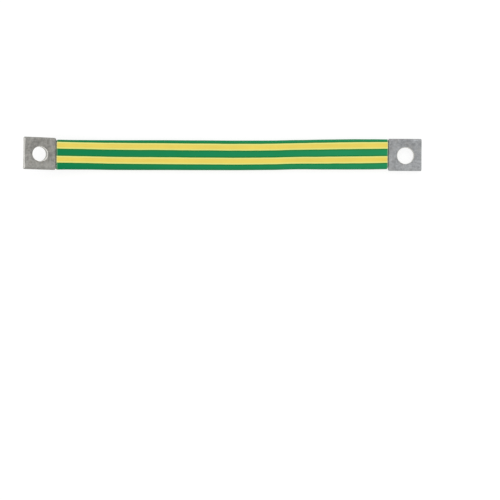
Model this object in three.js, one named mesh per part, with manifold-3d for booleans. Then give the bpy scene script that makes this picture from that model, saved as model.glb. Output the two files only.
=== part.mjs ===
// Insulated flexible earthing braid, 300 mm long, with a bolting palm at each end.
//
// A flat tubular braid of tinned copper wire runs from end to end. A short tinned copper tube is pressed
// flat over each end of it and punched with a bolt hole, and a striped sleeve covers the braid between
// them. The part lies on the sleeve, and its left palm is bent up a little.
//
// Millimetres. +X runs to the right palm and +Z is up. The origin is under the middle of the part's box.

import * as THREE from 'three';
import { mergeVertices } from 'three/addons/utils/BufferGeometryUtils.js';
import Module from 'manifold-3d';

const wasm = await Module();
wasm.setup();

// The braid between the palms
const BRAID_WIDTH = 19.4;
const BRAID_THICKNESS = 3.3;
const BRAID_BUNDLES = 24; // half of them wind one way round the flat tube and half the other way
const BRAID_ANGLE = 27; // degrees from a bundle to the length of the braid
const BRAID_RELIEF = 0.35; // how far a bundle dips where another one passes over it

// The braid's ends, pressed inside the palms
const PRESSED_THICKNESS = 1.9;
const PRESSED_SPREAD = 1.7; // added to the braid's width by the press
const PRESSED_CORNER = 0.7;
const PRESSED_ENTRY = 3; // the length over which the braid spreads
const PRESS_CLEARANCE = 0.15;

// The palms
const PALM_LENGTH = 25;
const PALM_WALL = 1;
const PALM_SIDE_RADIUS = 1.4;
const PALM_MOUTH_RADIUS = 1.2; // in plan, at the two corners beside the sleeve
const BOLT_HOLE_DIAMETER = 12.2;
const BOLT_HOLE_FROM_END = 12;
const BOLT_HOLE_ROLLOVER = 0.5; // the rounding that the punch leaves at both rims
const LEFT_HOLE_ACROSS = 10.8; // the left hole is pressed out of round, narrower across the palm

// The sleeve
const SLEEVE_LENGTH = 248.8;
const SLEEVE_WALL = 1.1;
const SLEEVE_CORNER = 2.8;
const SLEEVE_PLAY_ACROSS = 0.4; // between the braid's edge and the sleeve, on each side
const SLEEVE_PLAY_ABOVE = 0.35; // between the braid's face and the sleeve, above and below
const STRIPE_PAIRS = 5; // green and yellow bands round the whole sleeve
const YELLOW_WIDTH = 5.4;
const GREEN_STRIPE_ASIDE = 0.95; // from the middle line to the middle of the green stripe on top

// How the part lies
const BOW_TURN = 0.46; // degrees that each half of the sleeve turns towards +Y in plan
const LIFT_LENGTH = 40; // of the sleeve's left end, which bends up
const LIFT_TILT = 19; // degrees, at the sleeve's left mouth
const LEFT_GAP = 0.85; // between the sleeve and the left palm, along the middle line
const LEFT_PALM_TILT = 30; // degrees
const LEFT_PALM_TURN = 0.9; // degrees towards +Y
const LEFT_PALM_ASIDE = 0.3; // the palm's middle, to +Y of the braid's
const LEFT_HOLE_ASIDE = -0.4; // the bolt hole's middle, to +Y of the palm's
const RIGHT_GAP = 0.3;
const RIGHT_PALM_TURN = -0.45;
const RIGHT_PALM_ASIDE = -0.3;
const RIGHT_HOLE_ASIDE = -0.6;
const SLEEVE_SHIFT_LEFT = -0.15; // the sleeve's middle, to +Y of the braid's, at its left mouth
const SLEEVE_SHIFT_RIGHT = 0.3;

// How far the stripes have slipped round the sleeve, towards +Y on top, at places along its length
const STRIPE_DRIFT = [
  { place: 0, drift: 0.8 },
  { place: 0.33, drift: 0 },
  { place: 0.65, drift: -0.15 },
  { place: 1, drift: 0.3 },
];

// How finely the curved shapes are cut into flat faces
const CORNER_STEPS = 4;
const HOLE_STEPS = 40;
const ROLLOVER_STEPS = 3;
const STEPS_PER_STRIPE = 4;
const SLEEVE_STEP = 16; // between the sleeve's rings where it lies flat
const LIFT_STEP = 5; // and where it bends up
const CUT_MARGIN = 1; // how far a cutting shape runs past what it cuts

// What follows from those sizes
const sleeveInnerWidth = BRAID_WIDTH + 2 * SLEEVE_PLAY_ACROSS;
const sleeveInnerThickness = BRAID_THICKNESS + 2 * SLEEVE_PLAY_ABOVE;
const sleeveWidth = sleeveInnerWidth + 2 * SLEEVE_WALL;
const sleeveThickness = sleeveInnerThickness + 2 * SLEEVE_WALL;
const pressedWidth = BRAID_WIDTH + PRESSED_SPREAD;
const palmAside = Math.max(Math.abs(LEFT_PALM_ASIDE), Math.abs(RIGHT_PALM_ASIDE));
const palmInnerWidth = pressedWidth + 2 * (PRESS_CLEARANCE + palmAside);
const palmInnerThickness = PRESSED_THICKNESS + 2 * PRESS_CLEARANCE;
const palmWidth = palmInnerWidth + 2 * PALM_WALL;
const palmThickness = palmInnerThickness + 2 * PALM_WALL;
const halfSleeve = SLEEVE_LENGTH / 2;
const leftMouth = -halfSleeve - LEFT_GAP;
const rightMouth = halfSleeve + RIGHT_GAP;

// A closed outline of a flat section with rounded corners, which starts in the middle of its top and goes
// round towards +Y. at(share) gives the point and the outward normal at that share of the way round.
class RoundedOutline {
  constructor(width, thickness, corner) {
    const radius = Math.min(corner, width / 2, thickness / 2);
    this.radius = radius;
    this.flat = width / 2 - radius;
    this.side = thickness / 2 - radius;
    this.arc = (Math.PI / 2) * radius;
    this.length = 4 * (this.flat + this.side + this.arc);
  }

  // Distance is measured from the middle of the top, and goes no further than a quarter of the way round.
  quarterPoint(distance) {
    if (distance <= this.flat) {
      return [distance, this.side + this.radius, 0, 1];
    }
    if (distance >= this.flat + this.arc) {
      const down = distance - this.flat - this.arc;
      return [this.flat + this.radius, this.side - down, 1, 0];
    }
    const angle = (distance - this.flat) / this.radius;
    const outY = Math.sin(angle);
    const outZ = Math.cos(angle);
    return [this.flat + this.radius * outY, this.side + this.radius * outZ, outY, outZ];
  }

  at(share) {
    const quarter = this.length / 4;
    const distance = THREE.MathUtils.euclideanModulo(share, 1) * this.length;
    const below = distance > quarter && distance < 3 * quarter;
    const left = distance > 2 * quarter;
    const fromTop = left ? this.length - distance : distance;
    const fromNearest = below ? 2 * quarter - fromTop : fromTop;
    const [y, z, outY, outZ] = this.quarterPoint(fromNearest);
    const signY = left ? -1 : 1;
    const signZ = below ? -1 : 1;
    return { y: signY * y, z: signZ * z, outY: signY * outY, outZ: signZ * outZ };
  }
}

// One side of the middle line, walked outwards from the middle of the sleeve. Each stretch turns smoothly
// from the direction before it to its own.
function walkOutwards(side, steps) {
  const stretches = [];
  const place = new THREE.Vector3();
  const heading = new THREE.Vector3(side, 0, 0);
  let start = 0;
  for (const { length, turn, tilt } of steps) {
    const turned = THREE.MathUtils.degToRad(turn);
    const tilted = THREE.MathUtils.degToRad(tilt);
    const next = new THREE.Vector3(
      side * Math.cos(tilted) * Math.cos(turned),
      Math.cos(tilted) * Math.sin(turned),
      Math.sin(tilted),
    );
    const knee = place.clone().addScaledVector(heading, length / 2);
    const end = knee.clone().addScaledVector(next, length / 2);
    stretches.push({ start, length, curve: new THREE.QuadraticBezierCurve3(place.clone(), knee, end) });
    start += length;
    place.copy(end);
    heading.copy(next);
  }
  return stretches;
}

const leftStretches = walkOutwards(-1, [
  { length: halfSleeve - LIFT_LENGTH, turn: BOW_TURN, tilt: 0 },
  { length: LIFT_LENGTH, turn: BOW_TURN, tilt: LIFT_TILT },
  { length: LEFT_GAP, turn: LEFT_PALM_TURN, tilt: LEFT_PALM_TILT },
  { length: PALM_LENGTH, turn: LEFT_PALM_TURN, tilt: LEFT_PALM_TILT },
]);

const rightStretches = walkOutwards(1, [
  { length: halfSleeve, turn: BOW_TURN, tilt: 0 },
  { length: RIGHT_GAP, turn: RIGHT_PALM_TURN, tilt: 0 },
  { length: PALM_LENGTH, turn: RIGHT_PALM_TURN, tilt: 0 },
]);

// The frame of the middle line at a distance along it, negative to the left: X along it, Y across, Z up.
function frameAt(distance) {
  const stretches = distance < 0 ? leftStretches : rightStretches;
  const outwards = Math.abs(distance);
  const inStretch = ({ start, length }) => outwards <= start + length;
  const { start, length, curve } = stretches.find(inStretch) ?? stretches.at(-1);
  const share = Math.min((outwards - start) / length, 1);
  const along = curve.getTangentAt(share).multiplyScalar(distance < 0 ? -1 : 1);
  const across = new THREE.Vector3(0, 0, 1).cross(along).normalize();
  const up = along.clone().cross(across);
  return new THREE.Matrix4().makeBasis(along, across, up).setPosition(curve.getPointAt(share));
}

// Closed bodies and cuts

function toSolid(geometry) {
  const bare = geometry.clone();
  bare.deleteAttribute('normal');
  bare.deleteAttribute('uv');
  const merged = mergeVertices(bare);
  return new wasm.Manifold(new wasm.Mesh({
    numProp: 3,
    vertProperties: new Float32Array(merged.attributes.position.array),
    triVerts: new Uint32Array(merged.index.array),
  }));
}

function toGeometry(solid) {
  const mesh = solid.getMesh();
  const geometry = new THREE.BufferGeometry();
  geometry.setAttribute('position', new THREE.BufferAttribute(mesh.vertProperties, 3));
  geometry.setIndex(new THREE.BufferAttribute(mesh.triVerts, 1));
  const flat = geometry.toNonIndexed();
  flat.computeVertexNormals();
  return flat;
}

// Collects triangles, each with a colour of its own.
class Skin {
  constructor() {
    this.positions = [];
    this.colours = [];
  }

  triangle(a, b, c, colour) {
    for (const corner of [a, b, c]) {
      this.positions.push(corner.x, corner.y, corner.z);
      this.colours.push(colour.r, colour.g, colour.b);
    }
  }

  quad(a, b, c, d, colour) {
    this.triangle(a, b, c, colour);
    this.triangle(a, c, d, colour);
  }

  // Joins two rings of as many points. Both go round clockwise as seen from the second one.
  band(ring, next, colourOf) {
    ring.forEach((corner, k) => {
      const beside = (k + 1) % ring.length;
      this.quad(corner, next[k], next[beside], ring[beside], colourOf(k));
    });
  }

  geometry() {
    const geometry = new THREE.BufferGeometry();
    geometry.setAttribute('position', new THREE.Float32BufferAttribute(this.positions, 3));
    geometry.setAttribute('color', new THREE.Float32BufferAttribute(this.colours, 3));
    geometry.computeVertexNormals();
    return geometry;
  }
}

// The middle of a ring, for closing its end with a fan
function middleOf(ring) {
  const sum = new THREE.Vector3();
  ring.forEach((corner) => sum.add(corner));
  return sum.divideScalar(ring.length);
}

// Braid

const TINNED_COPPER = new THREE.Color(0xb3ada2);

// One ring of the braid. Every other point of it is a bundle on top, and the rest dip by the relief.
function braidRing(distance, outline, firstIsHigh, relief) {
  const frame = frameAt(distance);
  const ring = [];
  for (let k = 0; k < BRAID_BUNDLES; k += 1) {
    const { y, z, outY, outZ } = outline.at(k / BRAID_BUNDLES);
    const high = (k % 2 === 0) === firstIsHigh;
    const dip = high ? 0 : relief;
    ring.push(new THREE.Vector3(0, y - dip * outY, z - dip * outZ).applyMatrix4(frame));
  }
  return ring;
}

function braidRings() {
  const loose = new RoundedOutline(BRAID_WIDTH, BRAID_THICKNESS, BRAID_THICKNESS / 2);
  const entering = new RoundedOutline(BRAID_WIDTH, PRESSED_THICKNESS, PRESSED_CORNER);
  const pressed = new RoundedOutline(pressedWidth, PRESSED_THICKNESS, PRESSED_CORNER);
  const bundlePitch = loose.length / BRAID_BUNDLES;
  const length = rightMouth - leftMouth;
  const pitch = bundlePitch / Math.tan(THREE.MathUtils.degToRad(BRAID_ANGLE));
  const rows = Math.round(length / pitch);

  const rings = [];
  rings.push(braidRing(leftMouth - PALM_LENGTH, pressed, true, 0));
  rings.push(braidRing(leftMouth - PRESSED_ENTRY, pressed, true, 0));
  rings.push(braidRing(leftMouth, entering, true, 0));
  for (let row = 1; row < rows; row += 1) {
    const distance = leftMouth + (length * row) / rows;
    rings.push(braidRing(distance, loose, row % 2 === 0, BRAID_RELIEF));
  }
  rings.push(braidRing(rightMouth, entering, true, 0));
  rings.push(braidRing(rightMouth + PRESSED_ENTRY, pressed, true, 0));
  rings.push(braidRing(rightMouth + PALM_LENGTH, pressed, true, 0));
  return rings;
}

// Each square between four crossings is split along its two dips, so that a bundle stands out as a ridge.
function braidGeometry() {
  const rings = braidRings();
  const skin = new Skin();
  for (let row = 0; row + 1 < rings.length; row += 1) {
    const ring = rings[row];
    const next = rings[row + 1];
    for (let k = 0; k < BRAID_BUNDLES; k += 1) {
      const beside = (k + 1) % BRAID_BUNDLES;
      if ((row + k) % 2 === 0) {
        skin.quad(ring[k], next[k], next[beside], ring[beside], TINNED_COPPER);
      } else {
        skin.quad(next[k], next[beside], ring[beside], ring[k], TINNED_COPPER);
      }
    }
  }
  const first = rings[0];
  const last = rings[rings.length - 1];
  const firstMiddle = middleOf(first);
  const lastMiddle = middleOf(last);
  for (let k = 0; k < BRAID_BUNDLES; k += 1) {
    const beside = (k + 1) % BRAID_BUNDLES;
    skin.triangle(firstMiddle, first[k], first[beside], TINNED_COPPER);
    skin.triangle(lastMiddle, last[beside], last[k], TINNED_COPPER);
  }
  return skin.geometry();
}

// Palms

// Where each palm is, with its own X along the braid and its bolt hole measured from its outer end
const leftPalm = {
  outwards: -1,
  mouth: leftMouth,
  aside: LEFT_PALM_ASIDE,
  holeAside: LEFT_HOLE_ASIDE,
  holeAcross: LEFT_HOLE_ACROSS,
};
const rightPalm = {
  outwards: 1,
  mouth: rightMouth,
  aside: RIGHT_PALM_ASIDE,
  holeAside: RIGHT_HOLE_ASIDE,
  holeAcross: BOLT_HOLE_DIAMETER,
};

// A palm's own frame has its origin in the middle of its mouth.
function palmFrame(palm) {
  const inside = frameAt(palm.mouth + (palm.outwards * PALM_LENGTH) / 2);
  const toMouth = new THREE.Matrix4().makeTranslation((-palm.outwards * PALM_LENGTH) / 2, palm.aside, 0);
  return inside.multiply(toMouth);
}

// The punch for the bolt hole, in the palm's frame. With a rollover its radius grows at both faces.
function holePunch(palm, rollover) {
  const radius = BOLT_HOLE_DIAMETER / 2;
  const face = palmThickness / 2;
  const rim = [];
  for (let step = 0; rollover > 0 && step <= ROLLOVER_STEPS; step += 1) {
    const angle = (Math.PI / 2) * (step / ROLLOVER_STEPS);
    rim.push([radius + rollover * (1 - Math.cos(angle)), face - rollover * (1 - Math.sin(angle))]);
  }
  const widest = radius + rollover;
  const upper = [...rim, [widest, face + CUT_MARGIN]];
  const lower = upper.map(([across, height]) => [across, -height]).reverse();
  const profile = [[0, -face - CUT_MARGIN], ...lower, ...upper, [0, face + CUT_MARGIN]];
  const punch = new THREE.LatheGeometry(profile.map(([x, y]) => new THREE.Vector2(x, y)), HOLE_STEPS);
  punch.rotateX(Math.PI / 2);
  punch.scale(1, palm.holeAcross / BOLT_HOLE_DIAMETER, 1);
  punch.translate(palm.outwards * (PALM_LENGTH - BOLT_HOLE_FROM_END), palm.holeAside, 0);
  return punch;
}

function roundedShape(Kind, width, thickness, corner) {
  const shape = new Kind();
  const outline = new RoundedOutline(width, thickness, corner);
  const { flat, side, radius } = outline;
  shape.moveTo(flat, side + radius);
  shape.absarc(-flat, side, radius, Math.PI / 2, Math.PI);
  shape.absarc(-flat, -side, radius, Math.PI, 1.5 * Math.PI);
  shape.absarc(flat, -side, radius, 1.5 * Math.PI, 2 * Math.PI);
  shape.absarc(flat, side, radius, 0, Math.PI / 2);
  return shape;
}

// The tube pressed flat, along the palm's X from its mouth
function flattenedTube(palm) {
  const section = roundedShape(THREE.Shape, palmWidth, palmThickness, PALM_SIDE_RADIUS);
  const insideCorner = Math.max(PALM_SIDE_RADIUS - PALM_WALL, PRESS_CLEARANCE);
  section.holes.push(roundedShape(THREE.Path, palmInnerWidth, palmInnerThickness, insideCorner));
  const tube = new THREE.ExtrudeGeometry(section, {
    depth: PALM_LENGTH,
    bevelEnabled: false,
    curveSegments: CORNER_STEPS,
  });
  const alongX = new THREE.Matrix4().makeBasis(
    new THREE.Vector3(0, 1, 0),
    new THREE.Vector3(0, 0, 1),
    new THREE.Vector3(1, 0, 0),
  );
  tube.applyMatrix4(alongX);
  if (palm.outwards < 0) {
    tube.translate(-PALM_LENGTH, 0, 0);
  }
  return tube;
}

// The palm's outline in plan, with the two corners beside the sleeve rounded off
function planBlank(palm) {
  const half = palmWidth / 2;
  const outer = PALM_LENGTH + CUT_MARGIN;
  const plan = new THREE.Shape();
  plan.moveTo(outer, -half - CUT_MARGIN);
  plan.lineTo(outer, half + CUT_MARGIN);
  plan.lineTo(PALM_MOUTH_RADIUS, half + CUT_MARGIN);
  plan.lineTo(PALM_MOUTH_RADIUS, half);
  plan.absarc(PALM_MOUTH_RADIUS, half - PALM_MOUTH_RADIUS, PALM_MOUTH_RADIUS, Math.PI / 2, Math.PI);
  plan.absarc(PALM_MOUTH_RADIUS, PALM_MOUTH_RADIUS - half, PALM_MOUTH_RADIUS, Math.PI, 1.5 * Math.PI);
  plan.lineTo(PALM_MOUTH_RADIUS, -half - CUT_MARGIN);
  const depth = palmThickness + 2 * CUT_MARGIN;
  const blank = new THREE.ExtrudeGeometry(plan, {
    depth,
    bevelEnabled: false,
    curveSegments: CORNER_STEPS,
  });
  blank.translate(0, 0, -depth / 2);
  if (palm.outwards < 0) {
    blank.rotateZ(Math.PI);
  }
  return blank;
}

function palmGeometry(palm) {
  const tube = toSolid(flattenedTube(palm));
  const blank = toSolid(planBlank(palm));
  const punch = toSolid(holePunch(palm, BOLT_HOLE_ROLLOVER));
  return toGeometry(tube.intersect(blank).subtract(punch));
}

// Sleeve

const SLEEVE_GREEN = new THREE.Color(0x168552);
const SLEEVE_YELLOW = new THREE.Color(0xe8d05c);

// The places of the sleeve's rings: close together where it bends up, far apart where it lies flat
function sleevePlaces() {
  const liftStart = LIFT_LENGTH - halfSleeve;
  const flatLength = halfSleeve - liftStart;
  const liftSteps = Math.ceil(LIFT_LENGTH / LIFT_STEP);
  const flatSteps = Math.ceil(flatLength / SLEEVE_STEP);
  const places = [];
  for (let step = 0; step < liftSteps; step += 1) {
    places.push((LIFT_LENGTH * step) / liftSteps - halfSleeve);
  }
  for (let step = 0; step <= flatSteps; step += 1) {
    places.push(liftStart + (flatLength * step) / flatSteps);
  }
  return places;
}

const driftCurve = new THREE.SplineCurve(
  STRIPE_DRIFT.map(({ place, drift }) => new THREE.Vector2(place, drift)),
);

// The drift at a share of the sleeve's length, with an even step from each listed place to the next
function driftAt(share) {
  const last = STRIPE_DRIFT.length - 1;
  let step = 0;
  while (step < last - 1 && share > STRIPE_DRIFT[step + 1].place) {
    step += 1;
  }
  const from = STRIPE_DRIFT[step].place;
  const to = STRIPE_DRIFT[step + 1].place;
  return driftCurve.getPoint((step + (share - from) / (to - from)) / last).y;
}

// Distances round the sleeve at which its faces meet, from the edge of the green stripe on top
function stripeDistances(outline) {
  const pair = outline.length / STRIPE_PAIRS;
  const bands = [pair - YELLOW_WIDTH, YELLOW_WIDTH];
  const distances = [];
  for (let stripe = 0; stripe < STRIPE_PAIRS; stripe += 1) {
    let start = stripe * pair - bands[0] / 2;
    for (const band of bands) {
      for (let step = 0; step < STEPS_PER_STRIPE; step += 1) {
        distances.push(start + (band * step) / STEPS_PER_STRIPE);
      }
      start += band;
    }
  }
  return distances;
}

function sleeveRing(distance, outline, shares) {
  const share = (distance + halfSleeve) / SLEEVE_LENGTH;
  const shift = THREE.MathUtils.lerp(SLEEVE_SHIFT_LEFT, SLEEVE_SHIFT_RIGHT, share);
  const frame = frameAt(distance);
  return shares(share).map((round) => {
    const { y, z } = outline.at(round);
    return new THREE.Vector3(0, y + shift, z).applyMatrix4(frame);
  });
}

function sleeveGeometry() {
  const outer = new RoundedOutline(sleeveWidth, sleeveThickness, SLEEVE_CORNER);
  const innerCorner = Math.max(SLEEVE_CORNER - SLEEVE_WALL, 0);
  const inner = new RoundedOutline(sleeveInnerWidth, sleeveInnerThickness, innerCorner);
  const distances = stripeDistances(outer);
  const shares = (share) => {
    const drift = GREEN_STRIPE_ASIDE + driftAt(share);
    return distances.map((distance) => (distance + drift) / outer.length);
  };
  const stripeOf = (k) => (Math.floor(k / STEPS_PER_STRIPE) % 2 === 0 ? SLEEVE_GREEN : SLEEVE_YELLOW);

  const places = sleevePlaces();
  const outside = places.map((place) => sleeveRing(place, outer, shares));
  const inside = places.map((place) => sleeveRing(place, inner, shares));
  const skin = new Skin();
  for (let step = 0; step + 1 < places.length; step += 1) {
    skin.band(outside[step], outside[step + 1], stripeOf);
    skin.band(inside[step + 1], inside[step], stripeOf);
  }
  const last = places.length - 1;
  skin.band(inside[0], outside[0], stripeOf);
  skin.band(outside[last], inside[last], stripeOf);
  return skin.geometry();
}

// Assembly

function makeBraid() {
  let solid = toSolid(braidGeometry());
  for (const palm of [leftPalm, rightPalm]) {
    const punch = holePunch(palm, 0);
    punch.applyMatrix4(palmFrame(palm));
    solid = solid.subtract(toSolid(punch));
  }
  const finish = new THREE.MeshStandardMaterial({ color: TINNED_COPPER, roughness: 0.45, metalness: 0.7 });
  const braid = new THREE.Mesh(toGeometry(solid), finish);
  braid.name = 'copper_braid';
  return braid;
}

function makePalm(name, palm) {
  const finish = new THREE.MeshStandardMaterial({ color: 0x989794, roughness: 0.55, metalness: 0.6 });
  const mesh = new THREE.Mesh(palmGeometry(palm), finish);
  const frame = palmFrame(palm);
  mesh.name = name;
  mesh.position.setFromMatrixPosition(frame);
  mesh.setRotationFromMatrix(frame);
  return mesh;
}

function makeSleeve() {
  const finish = new THREE.MeshStandardMaterial({ vertexColors: true, roughness: 0.42, metalness: 0 });
  const sleeve = new THREE.Mesh(sleeveGeometry(), finish);
  sleeve.name = 'insulating_sleeve';
  return sleeve;
}

const conductor = new THREE.Group();
conductor.add(makeBraid());
conductor.add(makePalm('left_palm_ferrule', leftPalm));
conductor.add(makePalm('right_palm_ferrule', rightPalm));

const earthingBraid = new THREE.Group();
earthingBraid.add(conductor);
earthingBraid.add(makeSleeve());

// The group is lifted and moved so that it lies on Z = 0 with the middle of its box over the origin.
earthingBraid.updateMatrixWorld(true);
const box = new THREE.Box3().setFromObject(earthingBraid);
const middle = box.getCenter(new THREE.Vector3());
earthingBraid.position.set(-middle.x, -middle.y, -box.min.z);

export default earthingBraid;
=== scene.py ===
"""Looks of the insulated flexible earthing braid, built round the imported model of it.

The sleeve, the two palms, the braid's bundles and its pressed ends are each made by an operator of their
own, from the sizes and colours that the two property groups hold. Metres throughout, unless a value is
multiplied by MM.
"""

import math

import bpy
import numpy as np
from bpy.props import FloatProperty, FloatVectorProperty, IntProperty, PointerProperty
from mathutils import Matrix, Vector, noise


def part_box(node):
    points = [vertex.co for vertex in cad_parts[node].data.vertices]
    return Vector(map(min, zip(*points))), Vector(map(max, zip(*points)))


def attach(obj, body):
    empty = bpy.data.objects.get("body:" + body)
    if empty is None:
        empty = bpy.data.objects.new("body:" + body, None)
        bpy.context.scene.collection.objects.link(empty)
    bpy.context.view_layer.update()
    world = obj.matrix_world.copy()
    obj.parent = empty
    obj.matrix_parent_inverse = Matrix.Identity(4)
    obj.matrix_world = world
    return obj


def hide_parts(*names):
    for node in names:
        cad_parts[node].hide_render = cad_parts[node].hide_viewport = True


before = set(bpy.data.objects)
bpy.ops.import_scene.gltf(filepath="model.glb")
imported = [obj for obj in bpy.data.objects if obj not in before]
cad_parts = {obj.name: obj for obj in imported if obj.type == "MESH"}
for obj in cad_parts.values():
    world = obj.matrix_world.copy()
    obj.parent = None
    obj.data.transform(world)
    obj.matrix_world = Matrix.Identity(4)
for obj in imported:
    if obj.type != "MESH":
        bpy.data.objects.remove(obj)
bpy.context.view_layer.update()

bl_info = {
    "name": "Insulated earthing braid",
    "version": (1, 0, 0),
    "blender": (4, 5, 0),
    "location": "3D View > Sidebar > Earthing braid",
    "description": "Makes a striped flexible earthing braid with a punched palm at each end",
    "category": "Object",
}

MM = 0.001
BODY = "root"
SLEEVE_NODE = "insulating_sleeve"
BRAID_NODE = "copper_braid"
LEFT_PALM_NODE = "left_palm_ferrule"
RIGHT_PALM_NODE = "right_palm_ferrule"


# Sizes and colours


class BraidSizes(bpy.types.PropertyGroup):
    """The sizes of the braid and the shape that it lies in."""

    sleeve_length: FloatProperty(
        name="Sleeve length", description="Length of the sleeve along its middle line",
        default=248.8 * MM, unit="LENGTH",
    )
    sleeve_width: FloatProperty(
        name="Sleeve width", description="Width of the flat sleeve", default=22.4 * MM, unit="LENGTH",
    )
    sleeve_thickness: FloatProperty(
        name="Sleeve thickness", description="Thickness of the flat sleeve over the braid",
        default=6.2 * MM, unit="LENGTH",
    )
    sleeve_wall: FloatProperty(
        name="Sleeve wall", description="Thickness of the sleeve's wall", default=1.1 * MM, unit="LENGTH",
    )
    sleeve_corner: FloatProperty(
        name="Sleeve corner", description="Radius of the sleeve's rounded edges", default=2.8 * MM,
        unit="LENGTH",
    )
    stripe_pairs: IntProperty(
        name="Stripe pairs", description="Green and yellow stripes round the sleeve", default=5,
    )
    yellow_width: FloatProperty(
        name="Yellow stripe", description="Width of the yellow stripes above and below",
        default=5.0 * MM, unit="LENGTH",
    )
    side_yellow_width: FloatProperty(
        name="Side stripe", description="Width of the yellow stripes round the sleeve's two edges",
        default=2.0 * MM, unit="LENGTH",
    )
    green_aside: FloatProperty(
        name="Green stripe aside", description="From the middle line to the green stripe on top",
        default=0.95 * MM, unit="LENGTH",
    )
    palm_length: FloatProperty(
        name="Palm length", description="Length of a palm", default=25 * MM, unit="LENGTH",
    )
    palm_width: FloatProperty(
        name="Palm width", description="Width of a palm", default=24 * MM, unit="LENGTH",
    )
    palm_thickness: FloatProperty(
        name="Palm thickness", description="Thickness of a palm", default=4.2 * MM, unit="LENGTH",
    )
    palm_wall: FloatProperty(
        name="Palm wall", description="Wall of the flattened tube", default=1 * MM, unit="LENGTH",
    )
    palm_side_radius: FloatProperty(
        name="Palm side radius", description="Radius of a palm's folded sides", default=1.4 * MM,
        unit="LENGTH",
    )
    palm_mouth_radius: FloatProperty(
        name="Palm mouth radius", description="Radius in plan of a palm's corners beside the sleeve",
        default=1.2 * MM, unit="LENGTH",
    )
    hole_diameter: FloatProperty(
        name="Bolt hole", description="Diameter of the bolt holes", default=12.2 * MM, unit="LENGTH",
    )
    left_hole_across: FloatProperty(
        name="Left bolt hole across", description="Width of the left bolt hole across its palm",
        default=10.8 * MM, unit="LENGTH",
    )
    hole_from_end: FloatProperty(
        name="Bolt hole from end", description="From a palm's outer end to the middle of its hole",
        default=12 * MM, unit="LENGTH",
    )
    hole_rollover: FloatProperty(
        name="Bolt hole rollover", description="Rounding that the punch leaves at the hole's rims",
        default=0.5 * MM, unit="LENGTH",
    )
    braid_width: FloatProperty(
        name="Braid width", description="Width of the loose braid", default=19.4 * MM, unit="LENGTH",
    )
    braid_thickness: FloatProperty(
        name="Braid thickness", description="Thickness of the loose braid", default=3.3 * MM,
        unit="LENGTH",
    )
    braid_angle: FloatProperty(
        name="Braid angle", description="Angle from a bundle to the length of the braid",
        default=math.radians(27), subtype="ANGLE",
    )
    bundles: IntProperty(
        name="Bundles", description="Bundles of wire in the braid, half of them winding each way",
        default=24,
    )
    wires_across: IntProperty(
        name="Wires across", description="Wires that show side by side on a bundle", default=14,
    )


class BraidColours(bpy.types.PropertyGroup):
    """The colours of the braid's materials, linear."""

    yellow: FloatVectorProperty(
        name="Yellow", description="Yellow stripes of the sleeve", subtype="COLOR", size=3,
        min=0, max=1, default=(0.88, 0.69, 0.127),
    )
    green: FloatVectorProperty(
        name="Green", description="Green of the sleeve", subtype="COLOR", size=3,
        min=0, max=1, default=(0.0, 0.229, 0.084),
    )
    # Painted sheen: the green pales towards the sleeve's right end, standing in for a soft sheen there.
    sheen_green: FloatVectorProperty(
        name="Pale green", description="Green of the sleeve towards its right end", subtype="COLOR",
        size=3, min=0, max=1, default=(0.016, 0.30, 0.12),
    )
    tin_light: FloatVectorProperty(
        name="Light tin", description="Brighter patches of the palms' tin", subtype="COLOR", size=3,
        min=0, max=1, default=(0.47, 0.462, 0.445),
    )
    tin_dark: FloatVectorProperty(
        name="Dark tin", description="Duller patches of the palms' tin", subtype="COLOR", size=3,
        min=0, max=1, default=(0.26, 0.254, 0.245),
    )
    tin_cut: FloatVectorProperty(
        name="Cut tin", description="Sheared ends and punched holes of the palms", subtype="COLOR", size=3,
        min=0, max=1, default=(0.74, 0.73, 0.685),
    )
    left_tint: FloatVectorProperty(
        name="Left palm tint", description="What the left palm's tin is multiplied by", subtype="COLOR",
        size=3, min=0, max=2, default=(0.9, 0.9, 0.875),
    )
    right_tint: FloatVectorProperty(
        name="Right palm tint", description="What the right palm's tin is multiplied by", subtype="COLOR",
        size=3, min=0, max=2, default=(1.015, 1.06, 1.125),
    )
    wire: FloatVectorProperty(
        name="Wire", description="Tinned wires of the braid", subtype="COLOR", size=3,
        min=0, max=1, default=(0.88, 0.87, 0.83),
    )
    floor: FloatVectorProperty(
        name="Floor", description="Floor and backdrop", subtype="COLOR", size=3,
        min=0, max=1, default=(0.9, 0.9, 0.9),
    )


def sizes():
    return bpy.context.scene.braid_sizes


def colours():
    return bpy.context.scene.braid_colours


# The middle line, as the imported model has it


class Stretch:
    """A smooth piece of the middle line, with its start and length measured outwards from the middle."""

    STEPS = 400

    def __init__(self, start, length, begin, knee, end):
        self.start = start
        self.length = length
        self.points = [np.array(point) for point in (begin, knee, end)]
        t = np.linspace(0, 1, self.STEPS + 1)
        places = self.bezier(t)
        steps = np.linalg.norm(np.diff(places, axis=0), axis=1)
        self.shares = np.concatenate([[0], np.cumsum(steps)]) / steps.sum()
        self.params = t

    def bezier(self, t):
        a, b, c = self.points
        t = t[:, None]
        return (1 - t) ** 2 * a + 2 * t * (1 - t) * b + t**2 * c

    def at(self, share):
        """Points and directions at shares of the stretch's length."""
        t = np.interp(share, self.shares, self.params)
        a, b, c = self.points
        directions = (1 - t[:, None]) * (b - a) + t[:, None] * (c - b)
        directions /= np.linalg.norm(directions, axis=1, keepdims=True)
        return self.bezier(t), directions


def walk_outwards(side, steps):
    """One side of the middle line, from the middle of the sleeve to the outer end of a palm."""
    stretches = []
    place = np.zeros(3)
    heading = np.array([side, 0.0, 0.0])
    start = 0.0
    for length, turn, tilt in steps:
        direction = np.array([
            side * math.cos(tilt) * math.cos(turn),
            math.cos(tilt) * math.sin(turn),
            math.sin(tilt),
        ])
        knee = place + heading * length / 2
        end = knee + direction * length / 2
        stretches.append(Stretch(start, length, place, knee, end))
        start += length
        place = end
        heading = direction
    return stretches


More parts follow.
